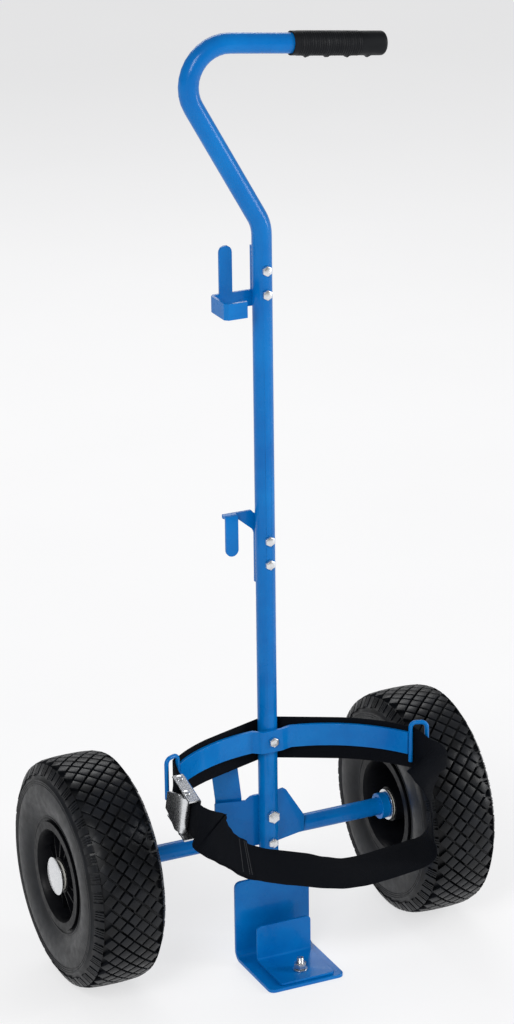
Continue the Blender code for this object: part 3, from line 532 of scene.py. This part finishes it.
def build_stud():
    """Stud with a real screw thread."""
    segments = 24
    rings = []
    low, high = 0.5, 22.6
    steps = 84
    for i in range(steps + 1):
        z = low + (high - low) * i / steps
        fade = min(1.0, (z - low) / 0.8, (high + 0.2 - z) / 0.8)
        ring = []
        for k in range(segments):
            turn = 2 * math.pi * k / segments
            phase = (z / STUD_PITCH - k / segments) % 1.0
            r = STUD_R - 0.62 * abs(2 * phase - 1) - 0.5 * (1 - fade)
            ring.append((r * math.cos(turn), r * math.sin(turn), z))
        rings.append(ring)
    points, faces = loft(rings)
    make_piece("threaded_stud", points, faces, ZINC, "frame", ["foot_stud"], (*STUD, 0.0), 60.0)


# ---------------------------------------------------------------- strap

def band_point(degrees, radius):
    """Point on an arc about the cradle band's centre, counted from straight behind it."""
    angle = math.radians(degrees)
    return Vector((BAND_CENTRE[0] + radius * math.sin(angle), BAND_CENTRE[1] + radius * math.cos(angle), 0.0))


def guide_inner_leg(side):
    """Centre of a strap guide's inner leg; side is -1 left, +1 right."""
    degrees = BAND_ENDS_DEG[0] if side < 0 else BAND_ENDS_DEG[1]
    angle = math.radians(degrees)
    along = Vector((math.cos(angle), -math.sin(angle), 0.0))
    return band_point(degrees, BAND_R) + along * (GUIDE_LEG_OFFSET * side)


def buckle_place(x, y, z=0.0):
    """World position of a point given about the buckle's rear bar."""
    turn = Matrix.Rotation(math.radians(BUCKLE_DROOP_DEG), 3, "X")
    return Vector(BUCKLE_BAR) + turn @ Vector((x, y, z))


def strap_route():
    """Centre of the webbing and the direction across it, from its tail round the buckle bar to the cam."""
    upright = Vector((0.0, 0.0, 1.0))
    drooped = Matrix.Rotation(math.radians(BUCKLE_DROOP_DEG), 3, "X") @ upright
    route = []

    def add(x, y, z=STRAP_REAR_Z, across=upright):
        route.append((Vector((x, y, z)), Vector(across).normalized()))

    for x, y in ((-0.2, 11.0), (-2.6, 6.5)):
        route.append((buckle_place(x, y), drooped))
    for degrees in range(165, 366, 25):
        angle = math.radians(degrees)
        route.append((buckle_place(ROUND_BAR_R * math.cos(angle), ROUND_BAR_R * math.sin(angle)), drooped))
    route.append((buckle_place(BUCKLE_STRAP_X, 6.5), drooped))
    add(-138.9, -62.6, STRAP_REAR_Z - 2.5, upright + drooped)
    leg = guide_inner_leg(-1)
    for degrees in (176, 150, 124):
        angle = math.radians(degrees)
        add(leg.x + ROUND_GUIDE_R * math.cos(angle), leg.y + ROUND_GUIDE_R * math.sin(angle))
    for degrees in (-38.4, -33.5, -28.5, -23.6, -18.7):
        point = band_point(degrees, ROUND_BAND_R)
        add(point.x, point.y)
    for degrees in (108.7, 97.0, 85.3, 73.6, 61.9):
        angle = math.radians(degrees)
        add(ROUND_TUBE_R * math.cos(angle), ROUND_TUBE_R * math.sin(angle))
    for degrees in (28.1, 32.7, 37.3, 41.9, 46.5, 51.0, 55.6):
        point = band_point(degrees, ROUND_BAND_R)
        add(point.x, point.y)
    leg = guide_inner_leg(1)
    for degrees in (62, 34, 8):
        angle = math.radians(degrees)
        add(leg.x + ROUND_GUIDE_R * math.cos(angle), leg.y + ROUND_GUIDE_R * math.sin(angle))
    hanging = [
        (139.2, -92.0, 257.6, (0.0, -0.1, 1.0)), (140.5, -99.0, 255.5, (0.1, -0.3, 0.95)),
        (143.6, -107.0, 248.5, (0.62, 0.15, 0.75)), (146.0, -111.0, 236.0, (0.88, 0.3, 0.3)),
        (146.4, -112.5, 222.0, (0.7, 0.7, 0.0)), (146.2, -113.6, 207.0, (0.5, 0.86, 0.0)),
        (146.0, -114.6, 192.0, (0.44, 0.9, 0.0)), (145.8, -115.5, 178.0, (0.42, 0.91, 0.0)),
        (145.5, -116.2, 166.0, (0.38, 0.92, 0.0)),
        (143.4, -116.7, 155.5, (0.25, 0.96, 0.03)), (137.0, -116.9, 147.5, (0.1, 0.98, 0.12)),
        (128.0, -116.9, 144.0, (0.0, 0.98, 0.18)), (117.0, -117.1, 142.0, (0.0, 0.98, 0.2)),
        (96.0, -117.0, 140.0, (0.0, 0.975, 0.22)), (72.0, -117.0, 138.0, (0.0, 0.975, 0.22)),
        (47.0, -117.0, 138.0, (0.0, 0.97, 0.25)), (22.0, -117.0, 143.0, (0.0, 0.93, 0.36)),
        (-2.0, -117.0, 151.0, (0.0, 0.89, 0.45)), (-26.0, -117.0, 159.0, (0.0, 0.89, 0.45)),
        (-49.0, -117.0, 166.5, (0.0, 0.89, 0.46)), (-69.0, -117.3, 175.0, (0.0, 0.86, 0.51)),
        (-86.0, -118.3, 184.0, (0.0, 0.78, 0.63)), (-97.0, -119.6, 192.8, (0.0, 0.7, 0.71)),
        (-106.0, -121.3, 203.0, (0.0, 0.58, 0.81)), (-115.0, -123.8, 213.0, (0.0, 0.42, 0.9)),
        (-122.5, -125.6, 222.0, (0.0, 0.2, 0.98)), (-128.5, -126.4, 229.2, (0.0, 0.05, 1.0)),
        (-131.5, -126.1, 232.2, (0.0, 0.0, 1.0)), (-134.4, -124.7, 234.6, (0.0, -0.05, 1.0)),
        (-136.8, -122.3, 236.6, (0.0, -0.1, 1.0)), (-138.4, -119.1, 238.2, (0.0, -0.15, 0.99)),
    ]
    for x, y, z, across in hanging:
        add(x, y, z, across)
    for y in (-42.0, -38.0, -16.0):
        route.append((buckle_place(BUCKLE_STRAP_X, y), drooped))
    return route


def strap_frames(step=3.0):
    """Smooth run of (centre, across, outward, length so far) along the strap."""
    route = strap_route()
    centres = smooth_curve([centre for centre, _ in route], step)
    counts = [0]
    for (a, _), (b, _) in zip(route, route[1:]):
        counts.append(counts[-1] + max(1, round((b - a).length / step)))
    frames = []
    length = 0.0
    for i, centre in enumerate(centres):
        segment = max(k for k, start in enumerate(counts[:-1]) if start <= i)
        t = (i - counts[segment]) / (counts[segment + 1] - counts[segment])
        across = route[segment][1].lerp(route[segment + 1][1], t * t * (3 - 2 * t))
        ahead = (centres[min(i + 1, len(centres) - 1)] - centres[max(i - 1, 0)]).normalized()
        across = (across - ahead * across.dot(ahead)).normalized()
        if i:
            length += (centre - centres[i - 1]).length
        frames.append((centre, across, across.cross(ahead), length))
    return frames


def webbing_strip(name, frames, offset, shift, stands_for=()):
    """Woven strip over the frames with thin rounded edges; UVs are metres along and across it."""
    section = []
    for u in (-1.0, -0.965, -0.5, 0.0, 0.5, 0.965, 1.0):
        section.append((u * STRAP_W / 2, STRAP_T / 2 * (1.0 if abs(u) < 0.98 else 0.35)))
    loop = section + [(w, -t) for w, t in reversed(section)]
    rings = []
    for centre, across, outward, _ in frames:
        rings.append([centre + across * (w + shift) + outward * (t + offset) for w, t in loop])
    points, faces = loft(rings)
    obj = make_piece(name, points, faces, WEBBING, "frame", stands_for, smooth_deg=60.0)
    layer = obj.data.uv_layers.new(name="weave")
    count = len(loop)
    for polygon in obj.data.polygons:
        for index in polygon.loop_indices:
            vertex = obj.data.loops[index].vertex_index
            layer.data[index].uv = (frames[vertex // count][3] * MM, loop[vertex % count][0] * MM)
    return obj


def build_strap():
    frames = strap_frames()
    length = frames[-1][3]
    strap = webbing_strip("webbing_strap", frames, 0.0, 0.0, ["strap"])
    lap_first, lap_last = (next(i for i, (centre, _, _, so_far) in enumerate(frames)
                                if centre.x < edge and so_far > length / 2) for edge in LAP_ENDS_X)
    lap = webbing_strip("webbing_lap", frames[lap_first:lap_last], STRAP_T + 0.15, LAP_SHIFT)
    stitches = []
    for distance in (2.5, 7.0, 16.0):
        target = frames[lap_first][3] + distance
        centre, across, outward, _ = min(frames[lap_first:], key=lambda frame: abs(frame[3] - target))
        for k in range(-8, 9):
            middle = centre + across * (k * STITCH_PITCH + LAP_SHIFT) + outward * (STRAP_T * 1.5 + 0.25)
            stitches.append(stitch(middle, across, outward))
    points, faces = merged(stitches)
    thread = make_piece("strap_stitches", points, faces, THREAD, "frame")


def stitch(middle, along, outward):
    """Short rounded thread lying on the cloth."""
    side = along.cross(outward).normalized()
    rings = []
    for distance, size in ((-1.05, 0.15), (-0.7, 0.34), (0.0, 0.42), (0.7, 0.34), (1.05, 0.15)):
        ring = []
        for i in range(6):
            angle = 2 * math.pi * i / 6
            ring.append(middle + along * distance + side * (size * math.cos(angle))
                        + outward * (size * math.sin(angle)))
        rings.append(ring)
    return loft(rings)


# ---------------------------------------------------------------- camera, light and floor

def build_camera():
    a = math.radians(CAMERA_AZIMUTH_DEG)
    e = math.radians(CAMERA_PITCH_DEG)
    roll = math.radians(CAMERA_ROLL_DEG)
    back = Vector((math.sin(a) * math.cos(e), -math.cos(a) * math.cos(e), math.sin(e)))
    level = Vector((math.cos(a), math.sin(a), 0.0))
    upward = back.cross(level)
    right = level * math.cos(roll) + upward * math.sin(roll)
    top = upward * math.cos(roll) - level * math.sin(roll)
    data = bpy.data.cameras.new("camera")
    data.lens = CAMERA_LENS
    data.sensor_width = 36.0
    data.clip_end = 50.0
    camera = bpy.data.objects.new("camera", data)
    bpy.context.scene.collection.objects.link(camera)
    axes = Matrix((right, top, back)).transposed().to_4x4()
    camera.matrix_world = Matrix.Translation(Vector(CAMERA) * MM) @ axes
    bpy.context.scene.camera = camera


def build_light(name, position, target, size, power):
    data = bpy.data.lights.new(name, "AREA")
    data.shape = "RECTANGLE"
    data.size, data.size_y = size
    data.energy = power
    light = bpy.data.objects.new(name, data)
    bpy.context.scene.collection.objects.link(light)
    light.location = position
    light.rotation_mode = "QUATERNION"
    light.rotation_quaternion = (Vector(target) - Vector(position)).to_track_quat("-Z", "Y")


def build_studio():
    world = bpy.data.worlds.new("studio")
    world.use_nodes = True
    background = world.node_tree.nodes["Background"]
    background.inputs["Color"].default_value = (0.93, 0.93, 0.94, 1.0)
    background.inputs["Strength"].default_value = 0.32
    bpy.context.scene.world = world
    bpy.context.scene.view_settings.view_transform = "Standard"
    build_light("key", (-2.2, -2.4, 2.6), (0.0, 0.0, 0.45), (1.2, 1.8), 80.0)
    build_light("side", (2.6, -1.4, 1.3), (0.05, 0.0, 0.3), (0.9, 2.0), 50.0)
    build_light("back", (0.6, 2.6, 2.2), (0.0, 0.0, 0.4), (2.2, 1.2), 30.0)
    g = Graph("floor_paper")
    where = g.place()
    colour = g.blend(g.noise(where, 3.0), (0.32, 0.32, 0.323), (0.35, 0.35, 0.353))
    material = g.shade(Base_Color=colour, Roughness=0.9, Emission_Color=(0.9, 0.9, 0.905, 1.0),
                       Emission_Strength=0.72)
    mesh = bpy.data.meshes.new("floor")
    reach = 12.0
    corners = [(-reach, -reach, 0.0), (reach, -reach, 0.0), (reach, reach, 0.0), (-reach, reach, 0.0)]
    mesh.from_pydata(corners, [], [(0, 1, 2, 3)])
    mesh.materials.append(material)
    floor = bpy.data.objects.new("floor", mesh)
    bpy.context.scene.collection.objects.link(floor)
    floor.location.z = -0.0005


# ---------------------------------------------------------------- the whole scene

dress_cad_nodes()
build_grip()
build_tyre("left", -1)
build_tyre("right", 1)
build_stud()
build_strap()
build_camera()
build_studio()
